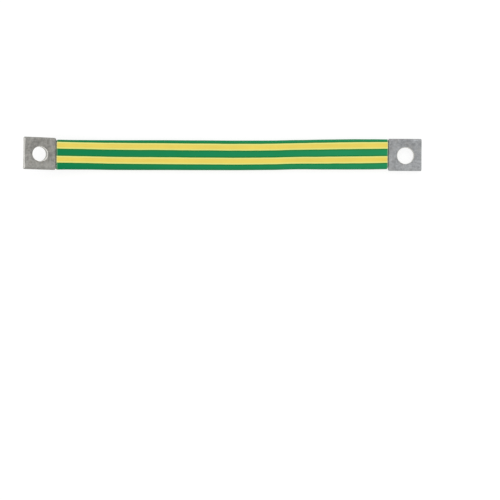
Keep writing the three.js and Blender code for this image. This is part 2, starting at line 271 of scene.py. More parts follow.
class MiddleLine:
    """The line that the whole part follows, and the frames along it."""

    BOW_TURN = math.radians(0.46)
    LIFT_LENGTH = 40 * MM
    LIFT_TILT = math.radians(19)
    LEFT_GAP = 0.85 * MM
    LEFT_PALM_TILT = math.radians(30)
    LEFT_PALM_TURN = math.radians(0.9)
    RIGHT_GAP = 0.3 * MM
    RIGHT_PALM_TURN = math.radians(-0.45)
    LEFT_PALM_ASIDE = 0.3 * MM
    RIGHT_PALM_ASIDE = -0.3 * MM

    def __init__(self):
        half = sizes().sleeve_length / 2
        palm = sizes().palm_length
        self.left_mouth = -half - self.LEFT_GAP
        self.right_mouth = half + self.RIGHT_GAP
        self.left = walk_outwards(-1, [
            (half - self.LIFT_LENGTH, self.BOW_TURN, 0),
            (self.LIFT_LENGTH, self.BOW_TURN, self.LIFT_TILT),
            (self.LEFT_GAP, self.LEFT_PALM_TURN, self.LEFT_PALM_TILT),
            (palm, self.LEFT_PALM_TURN, self.LEFT_PALM_TILT),
        ])
        self.right = walk_outwards(1, [
            (half, self.BOW_TURN, 0),
            (self.RIGHT_GAP, self.RIGHT_PALM_TURN, 0),
            (palm, self.RIGHT_PALM_TURN, 0),
        ])
        self.offset = np.zeros(3)
        self.offset = self.packed_offset()

    def packed_offset(self):
        """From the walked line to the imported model, by the middle of the right palm's box."""
        low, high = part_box(RIGHT_PALM_NODE)
        packed = np.array((low + high) / 2)
        origin, _, across, _ = self.frames([self.right_mouth + sizes().palm_length / 2])
        return packed - (origin[0] + across[0] * self.RIGHT_PALM_ASIDE)

    def frames(self, distances):
        """Origins and the along, across and up directions at distances, which are negative to the left."""
        distances = np.asarray(distances, float)
        origins = np.zeros((len(distances), 3))
        along = np.zeros_like(origins)
        for side, stretches in ((-1, self.left), (1, self.right)):
            outwards = distances * side
            on_side = distances < 0 if side < 0 else distances >= 0
            for stretch in stretches:
                after_start = (stretch is stretches[0]) | (outwards > stretch.start)
                before_end = (stretch is stretches[-1]) | (outwards <= stretch.start + stretch.length)
                inside = on_side & after_start & before_end
                if not inside.any():
                    continue
                share = np.clip((outwards[inside] - stretch.start) / stretch.length, 0, 1)
                points, directions = stretch.at(share)
                origins[inside] = points
                along[inside] = directions * side
        across = np.cross([0, 0, 1], along)
        across /= np.linalg.norm(across, axis=1, keepdims=True)
        up = np.cross(along, across)
        return origins + self.offset, along, across, up

    def place(self, distances, y, z):
        """Points at distances along the line, moved y across and z up from it. The arrays broadcast."""
        origins, _, across, up = self.frames(distances)
        y = np.asarray(y, float)[..., None]
        z = np.asarray(z, float)[..., None]
        return origins[:, None, :] + across[:, None, :] * y + up[:, None, :] * z


class RoundedOutline:
    """A flat section with rounded corners. It starts in the middle of its top and goes towards +Y."""

    def __init__(self, width, thickness, corner):
        radius = min(corner, width / 2, thickness / 2)
        self.radius = radius
        self.flat = width / 2 - radius
        self.side = thickness / 2 - radius
        self.arc = math.pi / 2 * radius
        self.length = 4 * (self.flat + self.side + self.arc)

    def at(self, shares):
        """y, z and the outward normal at shares of the way round."""
        quarter = self.length / 4
        distance = np.mod(shares, 1) * self.length
        below = (distance > quarter) & (distance < 3 * quarter)
        left = distance > 2 * quarter
        from_top = np.where(left, self.length - distance, distance)
        near = np.where(below, 2 * quarter - from_top, from_top)
        angle = np.clip((near - self.flat) / self.radius, 0, math.pi / 2)
        out_y = np.sin(angle)
        out_z = np.cos(angle)
        down = np.clip(near - self.flat - self.arc, 0, None)
        y = np.minimum(near, self.flat) + self.radius * out_y
        z = self.side - down + self.radius * out_z
        sign_y = np.where(left, -1, 1)
        sign_z = np.where(below, -1, 1)
        return sign_y * y, sign_z * z, sign_y * out_y, sign_z * out_z


# Meshes


def smooth_noise(x, y, z):
    """Perlin noise from about -1 to 1 at arrays of places."""
    flat = np.stack(np.broadcast_arrays(x, y, z), axis=-1).reshape(-1, 3)
    values = [noise.noise(Vector(place)) for place in flat]
    return np.array(values).reshape(np.broadcast(x, y, z).shape)


def smooth_table(shares, places, values):
    """Values of a table at shares, with a smooth step from each place to the next."""
    step = np.clip(np.searchsorted(places, shares, side="right") - 1, 0, len(places) - 2)
    inside = (shares - places[step]) / (places[step + 1] - places[step])
    eased = inside * inside * (3 - 2 * inside)
    return values[step] + (values[step + 1] - values[step]) * eased


def quarter_round(radius, distance):
    """How far an edge rounded by a radius draws in, at distances from where it ends."""
    inside = np.clip(radius - distance, 0, None)
    return radius - np.sqrt(radius**2 - inside**2)


class MeshBuilder:
    """Collects points, faces and one texture coordinate for each corner of a face."""

    def __init__(self):
        self.points = []
        self.faces = []
        self.coordinates = []
        self.count = 0

    def add_points(self, points):
        points = np.asarray(points, float).reshape(-1, 3)
        first = self.count
        self.points.append(points)
        self.count += len(points)
        return np.arange(first, self.count)

    def add_face(self, corners, coordinates):
        self.faces.append([int(corner) for corner in corners])
        self.coordinates.extend(coordinates)

    def add_grid(self, indices, u, v, closed):
        """Quads between rows of points. u and v give a coordinate for each column and each row, and u has
        one more value than there are columns where the rows are closed."""
        rows, columns = indices.shape
        last = columns if closed else columns - 1
        for row in range(rows - 1):
            for column in range(last):
                beside = (column + 1) % columns
                corners = (
                    indices[row, column], indices[row + 1, column],
                    indices[row + 1, beside], indices[row, beside],
                )
                self.add_face(corners, (
                    (u[row][column], v[row]), (u[row + 1][column], v[row + 1]),
                    (u[row + 1][column + 1], v[row + 1]), (u[row][column + 1], v[row]),
                ))

    def object(self, name, material, sharp_angle):
        mesh = bpy.data.meshes.new(name)
        points = np.concatenate(self.points)
        mesh.from_pydata(points.tolist(), [], self.faces)
        layer = mesh.uv_layers.new(name="along")
        layer.data.foreach_set("uv", np.array(self.coordinates, np.float32).ravel())
        mesh.materials.append(material)
        mesh.validate()
        smooth_shade(mesh, sharp_angle)
        piece = bpy.data.objects.new(name, mesh)
        bpy.context.scene.collection.objects.link(piece)
        return piece


def smooth_shade(mesh, sharp_angle):
    """Shades a mesh smooth, and leaves the edges that turn by more than an angle sharp."""
    mesh.polygons.foreach_set("use_smooth", [True] * len(mesh.polygons))
    mesh.set_sharp_from_angle(angle=sharp_angle)
    mesh.update()


# Shader maths


class Value:
    """A socket of a node tree, whose operators add the nodes that work them out."""

    def __init__(self, tree, socket):
        self.tree = tree
        self.socket = socket

    def math(self, operation, *others):
        return self.tree.node("ShaderNodeMath", {"operation": operation}, [self, *others])[0]

    def __add__(self, other):
        return self.math("ADD", other)

    def __radd__(self, other):
        return self.math("ADD", other)

    def __sub__(self, other):
        return self.math("SUBTRACT", other)

    def __rsub__(self, other):
        return self.tree.node("ShaderNodeMath", {"operation": "SUBTRACT"}, [other, self])[0]

    def __mul__(self, other):
        return self.math("MULTIPLY", other)

    def __truediv__(self, other):
        return self.math("DIVIDE", other)

    def fraction(self):
        return self.math("FRACT")

    def absolute(self):
        return self.math("ABSOLUTE")

    def step(self, low, high):
        """0 below low and 1 above high, with a smooth rise between them."""
        settings = {"interpolation_type": "SMOOTHSTEP"}
        return self.tree.node("ShaderNodeMapRange", settings, [self, low, high, 0.0, 1.0])[0]


class Shader:
    """A new material with one Principled surface."""

    FIRST_COLOUR = 6  # the Mix node's colour sockets share their names with its number sockets
    SECOND_COLOUR = 7

    def __init__(self, name):
        self.material = bpy.data.materials.new(name)
        self.material.use_nodes = True
        self.nodes = self.material.node_tree.nodes
        self.links = self.material.node_tree.links
        self.surface = self.nodes["Principled BSDF"]

    def node(self, kind, settings=None, inputs=None):
        """Adds a node, sets it, and fills its sockets by place or by name. Gives its output values."""
        node = self.nodes.new(kind)
        for key, value in (settings or {}).items():
            setattr(node, key, value)
        pairs = inputs.items() if isinstance(inputs, dict) else enumerate(inputs or [])
        for key, value in pairs:
            self.fill(node.inputs[key], value)
        return [Value(self, output) for output in node.outputs if output.enabled]

    def fill(self, socket, value):
        """Links a value to a socket, or sets an even number or colour on it."""
        if isinstance(value, Value):
            self.links.new(value.socket, socket)
        elif socket.type == "RGBA":
            socket.default_value = (*value, 1)
        else:
            socket.default_value = value

    def mix(self, share, first, second):
        """Two colours mixed by a value."""
        sockets = {"Factor": share, self.FIRST_COLOUR: first, self.SECOND_COLOUR: second}
        return self.node("ShaderNodeMix", {"data_type": "RGBA"}, sockets)[0]

    def texture(self, kind, place, scale, **settings):
        """A texture's first value at a place, with its other sockets by name."""
        inputs = {"Vector": place, "Scale": scale, **settings}
        return self.node(kind, None, inputs)[0]

    def noise(self, place, scale, detail=2.0, roughness=0.5):
        return self.texture("ShaderNodeTexNoise", place, scale, Detail=detail, Roughness=roughness)

    def stretched(self, place, scale):
        """A place scaled differently along each axis."""
        settings = {"operation": "MULTIPLY"}
        return self.node("ShaderNodeVectorMath", settings, [place, scale])[0]

    def coordinates(self):
        """The place in the object, and the two coordinates that run round and along a piece."""
        place = self.node("ShaderNodeTexCoord")[3]
        along = self.node("ShaderNodeUVMap", {"uv_map": "along"})[0]
        u, v, _ = self.node("ShaderNodeSeparateXYZ", None, [along])
        return place, u, v

    def bump(self, height, strength, distance):
        inputs = {"Height": height, "Strength": strength, "Distance": distance}
        self.set("Normal", self.node("ShaderNodeBump", None, inputs)[0])

    def set(self, name, value):
        """A linked value, or an even number or colour, on the surface's own socket."""
        self.fill(self.surface.inputs[name], value)


PER_MM = 1 / MM  # noise scale for features of about one millimetre


# Sleeve

SLEEVE_SHIFT_LEFT = -0.15 * MM
SLEEVE_SHIFT_RIGHT = 0.3 * MM
STRIPE_DRIFT_PLACES = (0, 0.33, 0.65, 1)
STRIPE_DRIFT = (0.8 * MM, 0, -0.15 * MM, 0.3 * MM)
SLEEVE_COLUMNS_PER_PAIR = 28
SLEEVE_ROWS = 300
SLEEVE_INNER_ROWS = 60
SLEEVE_CROWN = 0.05
SLEEVE_SHARP_EDGE = math.radians(35)
SIDE_STRIPES = (2, 4)  # numbers of the yellow stripes round the sleeve's two edges
STRIPE_WAVER = 0.25 * MM
STRIPE_EDGE = 0.035 * MM  # a stripe's edge blurs by this much to each side
STRIPE_DEPTH = 0.3  # share of the wall that the yellow stripes go into
PALE_EDGE = (1.25 * MM, 0.65 * MM)  # the yellow pales between these distances in from its edges
DEEP_AND_SHADE_EDGE = (0.5 * MM, 1.3 * MM)  # the green is deeper up to these distances from the yellow; beside the side stripes this is painted shade along the sleeve's rounded edges
RIM_HIGHLIGHT_REACH = 0.7 * MM  # painted highlight of the lit rounded rims, this far in from the mouths
RIM_HIGHLIGHT_COLOUR = (0.8, 0.83, 0.68)
WAVE_HEIGHT = 0.06 * MM
# Share of the length, how far the sleeve sways to +Y, and how much wider it is
SLEEVE_SWAY = (
    (0.0, 0.0, 0.0),
    (0.04, 0.10 * MM, -0.2 * MM),
    (0.10, 0.22 * MM, -0.2 * MM),
    (0.19, 0.16 * MM, 0.0),
    (0.32, 0.22 * MM, 0.08 * MM),
    (0.44, 0.08 * MM, 0.0),
    (0.55, -0.12 * MM, -0.15 * MM),
    (0.65, -0.12 * MM, -0.3 * MM),
    (0.73, 0.17 * MM, -0.35 * MM),
    (0.82, 0.13 * MM, 0.15 * MM),
    (0.89, 0.06 * MM, 0.35 * MM),
    (0.95, -0.06 * MM, 0.3 * MM),
    (1.0, -0.14 * MM, 0.0),
)
# How far the knife's cuts draw back from the mouths, at places from the -Y edge to the +Y edge. Where a
# value is below 0 the plastic reaches out past its mouth.
CUT_PLACES = (-1, -0.85, -0.4, 0.4, 0.85, 1)
LEFT_CUT = (0.6 * MM, -0.35 * MM, -0.4 * MM, -0.4 * MM, -0.25 * MM, 0.8 * MM)
RIGHT_CUT = (0.6 * MM, 0.1 * MM, 0.25 * MM, -0.15 * MM, -0.2 * MM, -0.15 * MM)
CUT_ROUNDING = 0.14 * MM
CUT_ROUGHNESS = 0.03 * MM
CUT_REACH = 3 * MM  # how far from a mouth its crooked cut shifts the plastic


def sleeve_outline():
    size = sizes()
    return RoundedOutline(size.sleeve_width, size.sleeve_thickness, size.sleeve_corner)


def sleeve_drift(share):
    """How far the stripes have slipped round the sleeve at shares of its length."""
    fit = np.polyfit(STRIPE_DRIFT_PLACES, STRIPE_DRIFT, 3)
    return np.polyval(fit, share)


def sleeve_rows(count):
    """Shares of the sleeve's length, with close rows at both mouths for their rounded edges."""
    edge = CUT_ROUNDING / sizes().sleeve_length
    near = edge * np.array([0, 0.12, 0.4, 1])
    return np.concatenate([near, np.linspace(0, 1, count)[1:-1], 1 - near[::-1]])


def sleeve_lift(distances, y, z):
    """How far the sleeve's surface stands out from its plain outline: long low waves and finer ones."""
    along = distances[:, None] / MM
    across = y / MM
    wave = smooth_noise(along * 0.045, across * 0.09, np.where(z > 0, 3.7, 9.1))
    fine = smooth_noise(along * 0.16, across * 0.2, np.where(z > 0, 5.7, 1.1))
    upper = np.clip(z / (sizes().sleeve_thickness / 2), 0, 1)
    lift = WAVE_HEIGHT * (wave + 0.35 * fine - 0.5) * (0.25 + 0.75 * upper)
    return np.minimum(lift, 0)


def sleeve_cut(rows, end, y, z):
    """How far the knife's cuts draw the sleeve back at each point."""
    beside = y / (sizes().sleeve_width / 2)
    left_cut, right_cut = (
        smooth_table(beside, np.array(CUT_PLACES), np.array(cut)) for cut in (LEFT_CUT, RIGHT_CUT)
    )
    ragged = np.where(rows[:, None] > 0.5, right_cut, left_cut)
    ragged += CUT_ROUGHNESS * smooth_noise(y / MM * 0.3, z / MM, 2.2)
    return ragged * np.clip(1 - end / CUT_REACH, 0, 1)[:, None]


def sleeve_points(line, outline, rows, pair_shares, sign):
    """Rows of points on one surface of the sleeve: sign is 1 outside and -1 inside."""
    size = sizes()
    girth = sleeve_outline().length
    around = (pair_shares - 0.5) * girth / size.stripe_pairs
    drift = sleeve_drift(rows)[:, None] + size.green_aside
    y, z, out_y, out_z = outline.at((around[None, :] + drift) / girth)
    crown = 1 - SLEEVE_CROWN * (y / (size.sleeve_width / 2)) ** 2
    z = np.where(z > 0, z * crown, z)

    distances = (rows - 0.5) * size.sleeve_length
    end = np.minimum(rows, 1 - rows) * size.sleeve_length
    rounding = quarter_round(CUT_ROUNDING, end)
    lift = sleeve_lift(distances, y, z) - sign * rounding[:, None]
    y = y + out_y * lift
    z = z + out_z * lift

    places, sways, widths = np.array(SLEEVE_SWAY).T
    sway = smooth_table(rows, places, sways)
    wider = smooth_table(rows, places, widths)
    shift = SLEEVE_SHIFT_LEFT + (SLEEVE_SHIFT_RIGHT - SLEEVE_SHIFT_LEFT) * rows + sway
    y_placed = y * (1 + wider / size.sleeve_width)[:, None] + shift[:, None]
    points = line.place(distances, y_placed, z)
    _, direction, _, _ = line.frames(distances)
    outwards = direction * np.sign(rows - 0.5)[:, None]
    return points - outwards[:, None, :] * sleeve_cut(rows, end, y, z)[..., None]


def stripe_places(shader, place, u, pair):
    """How far a place is from the middle of the nearest yellow stripe, and half that stripe's width. Both
    are shares of a stripe pair."""
    top_half = sizes().yellow_width / pair / 2
    side_half = sizes().side_yellow_width / pair / 2
    number = (u + 0.5).math("FLOOR")
    one_side, other_side = (number.math("COMPARE", stripe, 0.1) for stripe in SIDE_STRIPES)
    half_yellow = top_half - (one_side + other_side) * (top_half - side_half)
    waver = (shader.noise(place, 0.12 * PER_MM) - 0.5) * (STRIPE_WAVER / pair)
    from_yellow = ((u + waver + 0.5).fraction() - 0.5).absolute()
    return from_yellow, half_yellow


def sleeve_material():
    """Soft plastic: green, with yellow stripes whose edges waver a little. u counts stripe pairs. v is the
    distance from the left mouth outside, and runs from 0 to -1 through the wall."""
    shader = Shader("striped_sleeve")
    place, u, v = shader.coordinates()
    pair = sleeve_outline().length / sizes().stripe_pairs
    length = sizes().sleeve_length
    from_yellow, half_yellow = stripe_places(shader, place, u, pair)
    edge = STRIPE_EDGE / pair
    outside = from_yellow.step(half_yellow - edge, half_yellow + edge)
    green_share = outside.math("MAXIMUM", 1 - v.step(-STRIPE_DEPTH - 0.1, -STRIPE_DEPTH))

    cloud = shader.noise(place, 0.08 * PER_MM, 3.0)
    streak = shader.noise(shader.stretched(place, (0.03, 1, 1)), 1.1 * PER_MM, 3.0)
    tone = (cloud - 0.5) * 1.2 + (streak - 0.5) * 0.9 + 0.5
    yellow = Vector(colours().yellow)
    pale_yellow = Vector((yellow.x * 0.94, yellow.y * 1.22, yellow.z * 2))
    pale_start, pale_end = (reach / pair for reach in PALE_EDGE)
    thin = from_yellow.step(half_yellow - pale_start, half_yellow - pale_end)
    yellow_tone = shader.mix(thin * 0.9, shader.mix(tone, yellow * 0.93, yellow * 1.07), pale_yellow)

    green = Vector(colours().green)
    deep_and_shade_green = Vector((green.x + 0.01, green.y * 0.84, green.z * 0.38))
    deep_start, deep_end = (reach / pair for reach in DEEP_AND_SHADE_EDGE)
    # Darker green beside every yellow stripe; beside the side stripes it is painted shade of the sleeve's
    # rounded edges.
    deep_and_edge_shade = 1 - from_yellow.step(half_yellow + deep_start, half_yellow + deep_end)
    # Painted sheen: the green is mixed towards the paler green along the sleeve, most at its right end.
    green_with_sheen = shader.mix(v / length, green, Vector(colours().sheen_green))
    even_green = shader.mix((tone - 0.5) * 0.3 + 0.15, green_with_sheen, deep_and_shade_green)
    green_tone = shader.mix(deep_and_edge_shade * 0.8, even_green, deep_and_shade_green)

    striped = shader.mix(green_share, yellow_tone, green_tone)
    # Painted highlight: the colour pales near both mouths, where the rounded cut rims catch the light.
    from_mouth = v.math("MINIMUM", length - v).absolute()
    rim_highlight = 1 - from_mouth.step(0, RIM_HIGHLIGHT_REACH)
    shader.set("Base Color", shader.mix(rim_highlight * 0.4, striped, RIM_HIGHLIGHT_COLOUR))
    shader.set("Roughness", (streak - 0.5) * 0.16 + (cloud - 0.5) * 0.1 + 0.44)
    shader.set("Specular IOR Level", 0.1)
    peel = shader.noise(place, 0.9 * PER_MM, 2.0)
    seam = from_yellow.step(half_yellow - 4 * edge, half_yellow) * (
        1 - from_yellow.step(half_yellow, half_yellow + 4 * edge)
    )
    shader.bump(peel * 0.35 + streak * 0.5 - seam * 0.4, 0.5, 0.04 * MM)
    return shader.material


class EARTHBRAID_OT_sleeve(bpy.types.Operator):
    """Make the striped sleeve, with its rounded cut mouths."""

    bl_idname = "earthbraid.sleeve"
    bl_label = "Make sleeve"

    def execute(self, context):
        size = sizes()
        line = MiddleLine()
        outer = sleeve_outline()
        inner_corner = size.sleeve_corner - size.sleeve_wall
        inner = RoundedOutline(
            size.sleeve_width - 2 * size.sleeve_wall,
            size.sleeve_thickness - 2 * size.sleeve_wall,
            inner_corner,
        )
        columns = SLEEVE_COLUMNS_PER_PAIR * size.stripe_pairs
        pair_shares = np.arange(columns) / SLEEVE_COLUMNS_PER_PAIR
        round_u = np.append(pair_shares, size.stripe_pairs)
        builder = MeshBuilder()
        rows = sleeve_rows(SLEEVE_ROWS)
        inner_rows = sleeve_rows(SLEEVE_INNER_ROWS)
        outside = builder.add_points(sleeve_points(line, outer, rows, pair_shares, 1))
        outside = outside.reshape(len(rows), columns)
        inside = builder.add_points(sleeve_points(line, inner, inner_rows, pair_shares, -1))
        inside = inside.reshape(len(inner_rows), columns)
        builder.add_grid(outside, [round_u] * len(rows), rows * size.sleeve_length, True)
        flipped = inside[::-1]
        builder.add_grid(flipped, [round_u] * len(inner_rows), [-1.0] * len(inner_rows), True)
        left_cut = np.stack([inside[0], outside[0]])
        right_cut = np.stack([outside[-1], inside[-1]])
        builder.add_grid(left_cut, [round_u] * 2, [-1.0, 0.0], True)
        builder.add_grid(right_cut, [round_u] * 2, [0.0, -1.0], True)
        sleeve = builder.object("striped_sleeve", sleeve_material(), SLEEVE_SHARP_EDGE)
        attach(sleeve, BODY)
        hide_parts(SLEEVE_NODE)
        return {"FINISHED"}


# Palms

LEFT_HOLE_ASIDE = -0.4 * MM
RIGHT_HOLE_ASIDE = -0.6 * MM
PALM_SHARP_EDGE = math.radians(30)
PUNCHED_SHARP_EDGE = math.radians(28)
PALM_SPACING = 0.5 * MM
PALM_MOUTH_STEPS = 8
SIDE_SWELL = 0.12 * MM
END_DISH = 0.42 * MM
END_DISH_REACH = 5 * MM
PRESS_WAVE = 0.05 * MM
SHEAR_ROUNDING = 0.18 * MM
PALM_MOUTH_ROUNDING = 0.4 * MM
PALM_END_CORNER = 0.6 * MM  # radius in plan of the two corners at the outer end
HOLE_STEPS = 128
ROLLOVER_STEPS = 8
CUT_MARGIN = 1 * MM  # how far the punch tool stands out of a palm's faces
TOOL_FLARE = 1.6  # how much wider the punch tool is at its two ends, in rollovers
CUT_FACE = -1.0  # the coordinate along the palm that marks its cut faces


class Palm:
    """A palm's place, hole and tint. Its own x is measured outwards from its mouth."""

    def __init__(self, name, node, outwards, mouth, aside, hole_aside, hole_across, tint, seed):
        self.name = name
        self.node = node
        self.outwards = outwards
        self.mouth = mouth
        self.aside = aside
        self.hole_aside = hole_aside
        self.hole_across = hole_across
        self.tint = Vector(tint)
        self.seed = seed

    def place(self, line, x, y, z):
        """Points of the palm in the row frame, from arrays of one shape."""
        middle = self.mouth + self.outwards * sizes().palm_length / 2
        origins, along, across, up = line.frames([middle])
        x = np.asarray(x, float)[..., None] - sizes().palm_length / 2
        y = np.asarray(y, float)[..., None] + self.aside
        z = np.asarray(z, float)[..., None]
        return origins[0] + along[0] * self.outwards * x + across[0] * y + up[0] * z


def palms(line):
    """The left palm and the right one, on the middle line."""
    size = sizes()
    return [
        Palm(
            "left_palm", LEFT_PALM_NODE, -1, line.left_mouth, line.LEFT_PALM_ASIDE, LEFT_HOLE_ASIDE,
            size.left_hole_across, colours().left_tint, 11.3,
        ),
        Palm(
            "right_palm", RIGHT_PALM_NODE, 1, line.right_mouth, line.RIGHT_PALM_ASIDE, RIGHT_HOLE_ASIDE,
            size.hole_diameter, colours().right_tint, 42.9,
        ),
    ]


def palm_shape(x, y, z, seed):
    """Heights of a plain flattened tube's points, as the press and the shear leave them."""
    size = sizes()
    half_width = size.palm_width / 2
    half_thickness = size.palm_thickness / 2
    beside = np.abs(y) / half_width
    edge = np.clip((beside - 0.62) / 0.38, 0, 1)
    height = z / half_thickness
    end = np.clip(1 - (size.palm_length - x) / END_DISH_REACH, 0, 1)
    end = end * end * (3 - 2 * end)
    dish = END_DISH * end * (1 - beside**2)
    wave = PRESS_WAVE * smooth_noise(x / MM * 0.13 + seed, y / MM * 0.13, np.sign(z) * 2.3)
    thinner = dish - SIDE_SWELL * end * edge - wave * (1 - edge) + PRESS_WAVE * 0.5
    return z - height * np.maximum(thinner, -SIDE_SWELL)


def palm_rows():
    """Distances from a palm's mouth, close together where its ends are rounded."""
    size = sizes()
    mouth = size.palm_mouth_radius * (1 - np.cos(np.linspace(0, math.pi / 2, PALM_MOUTH_STEPS)))
    last_plain = size.palm_length - PALM_END_CORNER
    plain = np.arange(size.palm_mouth_radius + PALM_SPACING, last_plain, PALM_SPACING)
    corner = size.palm_length - PALM_END_CORNER * np.array([1, 0.8, 0.6, 0.42])
    shear = size.palm_length - SHEAR_ROUNDING * np.array([1, 0.35, 0.1, 0])
    return np.concatenate([mouth, plain, corner, shear])


def palm_tube(line, palm):
    """The flattened tube as a closed mesh, before its hole is punched."""
    size = sizes()
    outer = RoundedOutline(size.palm_width, size.palm_thickness, size.palm_side_radius)
    inner_corner = size.palm_side_radius - size.palm_wall
    inner = RoundedOutline(
        size.palm_width - 2 * size.palm_wall, size.palm_thickness - 2 * size.palm_wall, inner_corner,
    )
    columns = 2 * round(outer.length / PALM_SPACING / 2)
    shares = np.arange(columns) / columns
    xs = palm_rows()
    from_end = size.palm_length - xs
    rounding = quarter_round(SHEAR_ROUNDING, from_end) + quarter_round(PALM_MOUTH_ROUNDING, xs)
    nip = quarter_round(size.palm_mouth_radius, xs) + quarter_round(PALM_END_CORNER, from_end)
    half_width = size.palm_width / 2

    builder = MeshBuilder()
    surfaces = []
    for outline, sign in ((outer, 1), (inner, -1)):
        y, z, out_y, out_z = outline.at(shares)
        x_grid, y_grid = np.meshgrid(xs, y, indexing="ij")
        squeeze = 1 - nip[:, None] / half_width * (np.abs(y_grid) / half_width) ** 10
        y_grid = y_grid * squeeze - sign * rounding[:, None] * out_y
        z_grid = palm_shape(x_grid, y_grid, z - sign * rounding[:, None] * out_z, palm.seed)
        indices = builder.add_points(palm.place(line, x_grid, y_grid, z_grid))
        surfaces.append(indices.reshape(len(xs), columns))
    outside, inside = surfaces
    u = [np.arange(columns + 1) / columns] * len(xs)
    forward = palm.outwards > 0
    builder.add_grid(outside if forward else outside[::-1], u, xs, True)
    builder.add_grid(inside[::-1] if forward else inside, u, xs, True)
    mouth = np.stack([inside[0], outside[0]])
    shear = np.stack([outside[-1], inside[-1]])
    for cut in (mouth, shear):
        builder.add_grid(cut if forward else cut[::-1], u, [CUT_FACE] * 2, True)
    return builder.object(palm.name, tin_material(palm), PALM_SHARP_EDGE)


def punch_tool(line, palm, radius, rollover):
    """A round or oval tool with flared ends, for cutting the bolt hole."""
    size = sizes()
    face = size.palm_thickness / 2
    angles = np.linspace(0, math.pi / 2, ROLLOVER_STEPS + 1)
    flare = [(radius + rollover * (1 - math.cos(a)), face - rollover * (1 - math.sin(a))) for a in angles]
    tool_end = (radius + rollover * TOOL_FLARE, face + CUT_MARGIN)
    profile = [*flare, tool_end] if rollover else [tool_end]
    profile = [(r, -z) for r, z in reversed(profile)] + profile
    turn = np.arange(HOLE_STEPS) / HOLE_STEPS * 2 * math.pi
    centre_x = size.palm_length - size.hole_from_end
    narrower = palm.hole_across / size.hole_diameter
    rings = []
    for ring_radius, height in profile:
        x = centre_x + ring_radius * np.cos(turn)
        y = palm.hole_aside + ring_radius * np.sin(turn) * narrower
        rings.append(palm.place(line, x, y, np.full(HOLE_STEPS, height)))
    builder = MeshBuilder()
    indices = builder.add_points(np.array(rings)).reshape(len(profile), HOLE_STEPS)
    forward = palm.outwards < 0
    u = [np.arange(HOLE_STEPS + 1) / HOLE_STEPS] * len(profile)
    cut = [CUT_FACE] * len(profile)
    builder.add_grid(indices if forward else indices[:, ::-1], u, cut, True)
    for ring in (indices[0], indices[-1][::-1]):
        corners = ring if forward else ring[::-1]
        builder.add_face(corners, [(0, CUT_FACE)] * HOLE_STEPS)
    return builder.object("punch_tool", None, PALM_SHARP_EDGE)


def cut_with(piece, tool):
    """Cuts a tool out of a piece and takes the tool away."""
    cut = piece.modifiers.new("punch", "BOOLEAN")
    cut.operation = "DIFFERENCE"
    cut.solver = "EXACT"
    cut.object = tool
    bpy.context.view_layer.update()
    evaluated = piece.evaluated_get(bpy.context.evaluated_depsgraph_get())
    mesh = bpy.data.meshes.new_from_object(evaluated)
    piece.modifiers.clear()
    old = piece.data
    piece.data = mesh
    bpy.data.meshes.remove(old)
    bpy.data.objects.remove(tool)
    smooth_shade(mesh, PUNCHED_SHARP_EDGE)


def tin_material(palm):
    """Dull tin plate on copper, pressed and handled: cloudy patches, fine grain and a few faint scratches,
    with painted shade along the folds, at the mouth, round the hole and towards +Y.
    """
    shader = Shader(f"{palm.name}_tin")
    place, u, v = shader.coordinates()
    cloud = shader.noise(place, 0.16 * PER_MM, 4.0, 0.55)
    blotch = shader.noise(place, 0.62 * PER_MM, 4.0, 0.62)
    grain = shader.noise(place, 4 * PER_MM, 2.0, 0.6)
    scratch_lines = shader.noise(shader.stretched(place, (0.05, 1, 1)), 4 * PER_MM, 3.0)
    scratch = scratch_lines.step(0.62, 0.72)
    tone = (cloud - 0.5) * 1.5 + (blotch - 0.5) * 2.3 + (grain - 0.5) * 0.6 + 0.5
    # Painted shade darkens the tin round the bolt hole, patchy with the cloud; the scratches are the tin's
    # own.
    tone = tone + scratch * 0.1 - hole_rim_shade(u, v) * (0.7 - cloud)
    # Painted shade: the tin darkens towards its +Y side, as the light falls on it.
    across = shader.node("ShaderNodeSeparateXYZ", None, [place])[1]
    tone = tone - across * (0.16 / (sizes().palm_width / 2))
    dull = Vector(colours().tin_dark) * palm.tint
    light = Vector(colours().tin_light) * palm.tint
    plain = shader.mix(tone, dull, light)
    warmth = shader.noise(place, 0.3 * PER_MM, 2.0).step(0.48, 0.72)
    warm = Vector((light.x, light.y * 0.95, light.z * 0.89))
    mottled = shader.mix(warmth * 0.3, plain, warm)
    # Painted shade: the folded sides and the edge at the mouth are darkened towards dull tin.
    from_fold = ((u * 2).fraction() - 0.5).absolute()
    fold_shade = 1 - from_fold.step(0.03, 0.1)
    mouth = 1 - v.step(0.2 * MM, 1.1 * MM)
    shaded_plate = shader.mix((fold_shade * 0.45).math("MAXIMUM", mouth * 0.4), mottled, dull * 0.7)
    cut = 1 - v.step(CUT_FACE * 0.8, CUT_FACE * 0.2)
    bright = Vector(colours().tin_cut)
    shader.set("Base Color", shader.mix(cut, shaded_plate, shader.mix(tone, bright * 0.9, bright * 1.1)))
    shader.set("Metallic", 1.0)
    worn = (blotch - 0.5) * 0.35 + (cloud - 0.5) * 0.2 + scratch * 0.06
    shader.set("Roughness", 0.42 - worn - cut * 0.1)
    shader.bump(grain * 0.4 + blotch * 1.2 - scratch * 0.4, 0.5, 0.07 * MM)
    return shader.material


def hole_rim_shade(u, v):
    """How much painted shade darkens the tin round the bolt hole: most at its rim, and nothing 3 mm from it.
    """
    size = sizes()
    outline = RoundedOutline(size.palm_width, size.palm_thickness, size.palm_side_radius)
    along = v - (size.palm_length - size.hole_from_end)
    across = ((u * 2 + 0.5).fraction() - 0.5) * (outline.length / 2)
    radius = (along * along + across * across).math("SQRT")
    return 1 - radius.step(size.hole_diameter / 2, size.hole_diameter / 2 + 3 * MM)


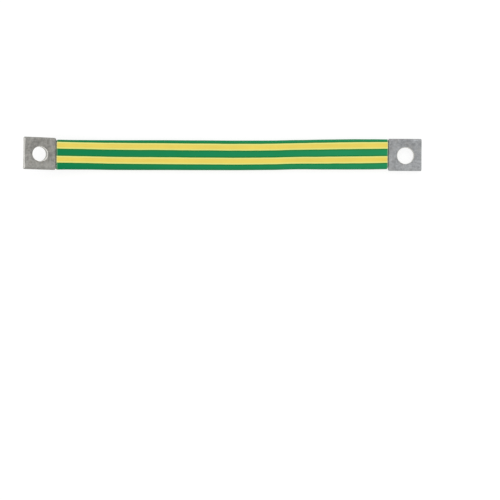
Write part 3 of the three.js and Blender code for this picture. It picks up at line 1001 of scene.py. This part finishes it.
class EARTHBRAID_OT_palms(bpy.types.Operator):
    """Make the two palms: tube pressed flat, sheared and punched."""

    bl_idname = "earthbraid.palms"
    bl_label = "Make palms"

    def execute(self, context):
        line = MiddleLine()
        for palm in palms(line):
            piece = palm_tube(line, palm)
            tool = punch_tool(line, palm, sizes().hole_diameter / 2, sizes().hole_rollover)
            cut_with(piece, tool)
            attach(piece, BODY)
            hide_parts(palm.node)
        return {"FINISHED"}


# Braid

BRAID_CORNER = 0.8 * MM
BUNDLE_SHARP_EDGE = math.radians(60)
BUNDLE_THICKNESS = 0.5 * MM
BUNDLE_COVER = 0.9  # share of the braid's surface that one set of bundles covers
STEPS_PER_CROSSING = 4
BUNDLE_POINTS = 10
LEAST_THICKNESS = 0.2 * MM  # of the tube that the bundles' middles wind round
PRESSED_SHARE = 0.55  # what is left of a bundle's thickness once it is pressed
TAPER_LENGTH = 2 * MM
GAP_BULGE = 0.9 * MM  # added to the braid's thickness where it shows beside a palm
GAP_BULGE_REACH = 1.6 * MM
BUNDLE_ENTRY = 2.5 * MM  # how far the bundles run into a palm before they are one pressed end


def braid_walls(distances, line):
    """Width and thickness of the tube that the bundles' middles wind round, and how loose it is. It tapers
    into the palms."""
    size = sizes()
    wall = 2 * BUNDLE_THICKNESS
    to_mouth = np.minimum(distances - line.left_mouth, line.right_mouth - distances)
    loose = np.clip(to_mouth / TAPER_LENGTH, 0, 1)
    loose = loose * loose * (3 - 2 * loose)
    pressed = size.palm_thickness - 2 * size.palm_wall
    thickness = pressed + (size.braid_thickness - pressed) * loose
    bulge = np.clip(1 - np.abs(to_mouth - GAP_BULGE_REACH / 4) / GAP_BULGE_REACH, 0, 1)
    thickness = thickness + GAP_BULGE * bulge * bulge * (3 - 2 * bulge)
    return size.braid_width - wall, thickness - wall, loose


def bundle_points(line, number, winding, pitch, outline_length, distances):
    """The corners of one bundle's section at each distance, in the row frame."""
    size = sizes()
    half_count = size.bundles // 2
    turns = winding * (distances - line.left_mouth) * math.tan(size.braid_angle) / outline_length
    share = number / half_count + turns
    over = winding * np.cos(math.pi * (distances - line.left_mouth) / pitch)
    width = outline_length / half_count * BUNDLE_COVER
    wall_width, wall_thickness, loose = braid_walls(distances, line)
    section = np.linspace(0, 2 * math.pi, BUNDLE_POINTS, endpoint=False)
    side = np.sign(np.cos(section)) * np.abs(np.cos(section)) ** 0.75
    bulge = np.sin(section)
    around = share[:, None] + side[None, :] * width / 2 / outline_length
    y = np.zeros_like(around)
    z = np.zeros_like(around)
    for row in range(len(distances)):
        outline = RoundedOutline(wall_width, max(wall_thickness[row], LEAST_THICKNESS), BRAID_CORNER)
        ring_y, ring_z, out_y, out_z = outline.at(around[row])
        squeeze = PRESSED_SHARE + (1 - PRESSED_SHARE) * loose[row]
        out = (over[row] + bulge) * BUNDLE_THICKNESS / 2 * squeeze
        y[row] = ring_y + out_y * out
        z[row] = ring_z + out_z * out
    return line.place(distances, y, z)


def wire_material():
    """Fine tinned wires. u counts wires across a bundle and v runs along it."""
    shader = Shader("tinned_wire")
    place, u, v = shader.coordinates()
    across = (u.fraction() - 0.5).absolute() * 2
    wire_height = 1 - across * across
    number = u.math("FLOOR")
    run = shader.node("ShaderNodeCombineXYZ", None, [number, v * 40.0, 0.0])[0]
    each = shader.noise(run, 1.7, 1.0)
    cloud = shader.noise(place, 0.4 * PER_MM, 3.0)
    wire = Vector(colours().wire)
    # Painted shade: each wire darkens towards its edges, where it lies against the next.
    tone = wire_height * 0.55 + (each - 0.5) * 0.7 + (cloud - 0.5) * 0.4 + 0.15
    copper_show = shader.noise(place, 0.9 * PER_MM, 2.0).step(0.64, 0.72)
    tinned_and_shaded = shader.mix(tone, wire * 0.34, wire * 1.12)
    bare = Vector((0.55, 0.30, 0.19))
    shader.set("Base Color", shader.mix(copper_show * 0.3, tinned_and_shaded, bare))
    shader.set("Metallic", 0.9)
    shader.set("Roughness", 0.26 + (cloud - 0.5) * 0.2)
    shader.bump(wire_height, 0.7, 0.05 * MM)
    return shader.material


class EARTHBRAID_OT_braid(bpy.types.Operator):
    """Make the braid's bundles, which pass over and under each other round the flat tube."""

    bl_idname = "earthbraid.braid"
    bl_label = "Make braid"

    def execute(self, context):
        size = sizes()
        line = MiddleLine()
        wall = 2 * BUNDLE_THICKNESS
        middle = RoundedOutline(size.braid_width - wall, size.braid_thickness - wall, BRAID_CORNER)
        lattice = middle.length / size.bundles / math.tan(size.braid_angle)
        length = line.right_mouth - line.left_mouth
        pitch = length / round(length / lattice)
        start = line.left_mouth - BUNDLE_ENTRY
        end = line.right_mouth + BUNDLE_ENTRY
        steps = round((end - start) / pitch * STEPS_PER_CROSSING)
        distances = np.linspace(start, end, steps + 1)
        builder = MeshBuilder()
        wires = size.wires_across
        across = np.abs(np.linspace(-1, 1, BUNDLE_POINTS + 1)) * wires
        for winding in (1, -1):
            for number in range(size.bundles // 2):
                points = bundle_points(line, number, winding, pitch, middle.length, distances)
                indices = builder.add_points(points).reshape(len(distances), BUNDLE_POINTS)
                u = [across] * len(distances)
                builder.add_grid(indices[:, ::-1], u, distances - start, True)
                builder.add_face(indices[0], [(0, 0)] * BUNDLE_POINTS)
                builder.add_face(indices[-1][::-1], [(0, 0)] * BUNDLE_POINTS)
        braid = builder.object("braid_bundles", wire_material(), BUNDLE_SHARP_EDGE)
        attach(braid, BODY)
        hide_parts(BRAID_NODE)
        return {"FINISHED"}


# Pressed ends

PRESSED_SPACING = 0.4 * MM
PRESSED_INSET = 0.06 * MM  # the wires end a little inside the sheared end of the palm
PRESSED_FIT = 0.02 * MM
PRESSED_START = 0.8 * MM


def cut_wire_material():
    """The braid's ends, pressed almost solid and cut: the round ends of the wires, close together."""
    shader = Shader("cut_wires")
    place, _, v = shader.coordinates()
    centre = shader.texture("ShaderNodeTexVoronoi", place, 4.2 * PER_MM, Randomness=0.75)
    round_end = 1 - centre.step(0.25, 0.62)
    cloud = shader.noise(place, 0.8 * PER_MM, 3.0)
    wire = Vector(colours().wire)
    # Painted shade: the cut wires darken on the walls of the bolt hole and in the gaps between the wire ends.
    hole_wall_shade = 1 - v.step(CUT_FACE * 0.8, CUT_FACE * 0.2)
    tone = round_end * 0.7 + (cloud - 0.5) * 0.6 + 0.35 - hole_wall_shade * 0.35
    bare = Vector((0.72, 0.55, 0.44))
    cut = shader.mix(cloud.step(0.5, 0.75) * 0.35, wire, bare)
    shader.set("Base Color", shader.mix(tone, wire * 0.4, cut))
    shader.set("Metallic", 0.9)
    shader.set("Roughness", 0.42 + (cloud - 0.5) * 0.3)
    shader.bump(round_end, 0.9, 0.05 * MM)
    return shader.material


def pressed_slab(line, palm, material):
    """One end of the braid, pressed to the shape of a palm's inside, before it is punched."""
    size = sizes()
    outline = RoundedOutline(
        size.palm_width - 2 * size.palm_wall + 2 * PRESSED_FIT,
        size.palm_thickness - 2 * size.palm_wall + 2 * PRESSED_FIT,
        size.palm_side_radius - size.palm_wall,
    )
    columns = 2 * round(outline.length / PRESSED_SPACING / 2)
    shares = np.arange(columns) / columns
    xs = np.arange(PRESSED_START, size.palm_length - PRESSED_INSET, PRESSED_SPACING)
    xs = np.append(xs, size.palm_length - PRESSED_INSET)
    y, z, _, _ = outline.at(shares)
    x_grid, y_grid = np.meshgrid(xs, y, indexing="ij")
    z_grid = palm_shape(x_grid, y_grid, np.tile(z, (len(xs), 1)), palm.seed)
    builder = MeshBuilder()
    indices = builder.add_points(palm.place(line, x_grid, y_grid, z_grid))
    indices = indices.reshape(len(xs), columns)
    forward = palm.outwards > 0
    u = [np.arange(columns + 1) / columns] * len(xs)
    builder.add_grid(indices if forward else indices[::-1], u, xs, True)
    for ring in (indices[0][::-1], indices[-1]):
        corners = ring[::-1] if forward else ring
        builder.add_face(corners, [(0, 0)] * columns)
    name = palm.name.replace("palm", "pressed_end")
    return builder.object(name, material, PALM_SHARP_EDGE)


class EARTHBRAID_OT_pressed_ends(bpy.types.Operator):
    """Make the braid's two ends, pressed inside the palms and punched with them."""

    bl_idname = "earthbraid.pressed_ends"
    bl_label = "Make pressed ends"

    def execute(self, context):
        line = MiddleLine()
        material = cut_wire_material()
        for palm in palms(line):
            piece = pressed_slab(line, palm, material)
            radius = sizes().hole_diameter / 2 + PRESSED_INSET
            cut_with(piece, punch_tool(line, palm, radius, 0))
            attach(piece, BODY)
        return {"FINISHED"}


# Stage

PHOTO_WIDTH = 500  # pixels
PIXELS_PER_MM = 1.336
SLEEVE_MIDDLE_PIXEL = (221.7, 155.25)  # where the middle of the sleeve is in the photograph
CAMERA_HEIGHT = 1.5
CAMERA_TURN = math.radians(-0.1)
FOCUS_HEIGHT = 5 * MM
SENSOR = 36.0
CAMERA_REACH = 20.0
FLOOR_SIZE = 8.0
FLOOR_DROP = 0.2 * MM  # how far below the part the floor lies
FLOOR_SHADE = 0.3  # share of its colour that the floor keeps for the light that falls on it
FLOOR_GLOW = (0.8, 0.8, 0.8)  # what the floor adds where it is seen or mirrored
WORLD_STRENGTH = 0.78
# Name, place, width and height, power in watts, and colour
SOFT_BOXES = (
    ("front_box", (-0.9, -1.1, 1.6), (2.4, 2.4), 4.0, (1.0, 0.99, 0.97)),
    ("back_box", (0.9, 1.3, 1.5), (2.4, 1.6), 10.0, (0.97, 0.99, 1.0)),
)


class EARTHBRAID_OT_stage(bpy.types.Operator):
    """Make the white floor, the soft light and the camera straight above."""

    bl_idname = "earthbraid.stage"
    bl_label = "Make stage"

    def execute(self, context):
        scene = context.scene
        self.camera(scene)
        self.floor(scene)
        self.lights(scene)
        scene.view_settings.view_transform = "Standard"
        return {"FINISHED"}

    def camera(self, scene):
        line = MiddleLine()
        origin = line.frames([0.0])[0][0]
        half = PHOTO_WIDTH / 2
        centre_x = origin[0] + (half - SLEEVE_MIDDLE_PIXEL[0]) / PIXELS_PER_MM * MM
        centre_y = origin[1] - (half - SLEEVE_MIDDLE_PIXEL[1]) / PIXELS_PER_MM * MM
        data = bpy.data.cameras.new("camera")
        data.sensor_width = SENSOR
        data.lens = SENSOR * CAMERA_HEIGHT / (PHOTO_WIDTH / PIXELS_PER_MM * MM)
        data.clip_end = CAMERA_REACH
        camera = bpy.data.objects.new("camera", data)
        camera.location = (centre_x, centre_y, CAMERA_HEIGHT + FOCUS_HEIGHT)
        camera.rotation_euler.z = CAMERA_TURN
        scene.collection.objects.link(camera)
        scene.camera = camera

    def floor(self, scene):
        mesh = bpy.data.meshes.new("floor")
        half = FLOOR_SIZE / 2
        corners = [(-half, -half, 0), (half, -half, 0), (half, half, 0), (-half, half, 0)]
        mesh.from_pydata(corners, [], [(0, 1, 2, 3)])
        mesh.materials.append(self.floor_material())
        floor = bpy.data.objects.new("floor", mesh)
        scene.collection.objects.link(floor)
        floor.location.z = -FLOOR_DROP

    def floor_material(self):
        shader = Shader("white_floor")
        rays = {ray.socket.name: ray for ray in shader.node("ShaderNodeLightPath")}
        seen = rays["Is Camera Ray"] + rays["Is Glossy Ray"] + rays["Is Transmission Ray"]
        shader.set("Base Color", Vector(colours().floor) * FLOOR_SHADE)
        shader.set("Roughness", 1.0)
        shader.set("Specular IOR Level", 0.0)
        shader.set("Emission Color", shader.mix(seen.math("MINIMUM", 1.0), (0, 0, 0), FLOOR_GLOW))
        shader.set("Emission Strength", 1.0)
        return shader.material

    def lights(self, scene):
        world = bpy.data.worlds.new("studio")
        world.use_nodes = True
        background = world.node_tree.nodes["Background"]
        background.inputs["Color"].default_value = (1, 1, 1, 1)
        background.inputs["Strength"].default_value = WORLD_STRENGTH
        scene.world = world
        for name, place, size, power, colour in SOFT_BOXES:
            lamp = bpy.data.lights.new(name, "AREA")
            lamp.shape = "RECTANGLE"
            lamp.size, lamp.size_y = size
            lamp.energy = power
            lamp.color = colour
            light = bpy.data.objects.new(name, lamp)
            light.location = place
            light.rotation_euler = (-Vector(place)).to_track_quat("-Z", "Y").to_euler()
            scene.collection.objects.link(light)


class EARTHBRAID_PT_panel(bpy.types.Panel):
    """The sizes, the colours and the makers of the earthing braid."""

    bl_label = "Earthing braid"
    bl_idname = "EARTHBRAID_PT_panel"
    bl_space_type = "VIEW_3D"
    bl_region_type = "UI"
    bl_category = "Earthing braid"

    def draw(self, context):
        layout = self.layout
        for maker in MAKERS:
            layout.operator(maker.bl_idname)
        for group in (sizes(), colours()):
            column = layout.column()
            for name in group.bl_rna.properties.keys():
                if name not in ("rna_type", "name"):
                    column.prop(group, name)


MAKERS = (
    EARTHBRAID_OT_stage,
    EARTHBRAID_OT_sleeve,
    EARTHBRAID_OT_palms,
    EARTHBRAID_OT_pressed_ends,
    EARTHBRAID_OT_braid,
)
CLASSES = (BraidSizes, BraidColours, *MAKERS, EARTHBRAID_PT_panel)


def register():
    for each in CLASSES:
        bpy.utils.register_class(each)
    bpy.types.Scene.braid_sizes = PointerProperty(type=BraidSizes)
    bpy.types.Scene.braid_colours = PointerProperty(type=BraidColours)


def unregister():
    del bpy.types.Scene.braid_colours
    del bpy.types.Scene.braid_sizes
    for each in reversed(CLASSES):
        bpy.utils.unregister_class(each)


def main():
    register()
    bpy.ops.earthbraid.stage()
    bpy.ops.earthbraid.sleeve()
    bpy.ops.earthbraid.palms()
    bpy.ops.earthbraid.pressed_ends()
    bpy.ops.earthbraid.braid()


if __name__ == "__main__":
    main()
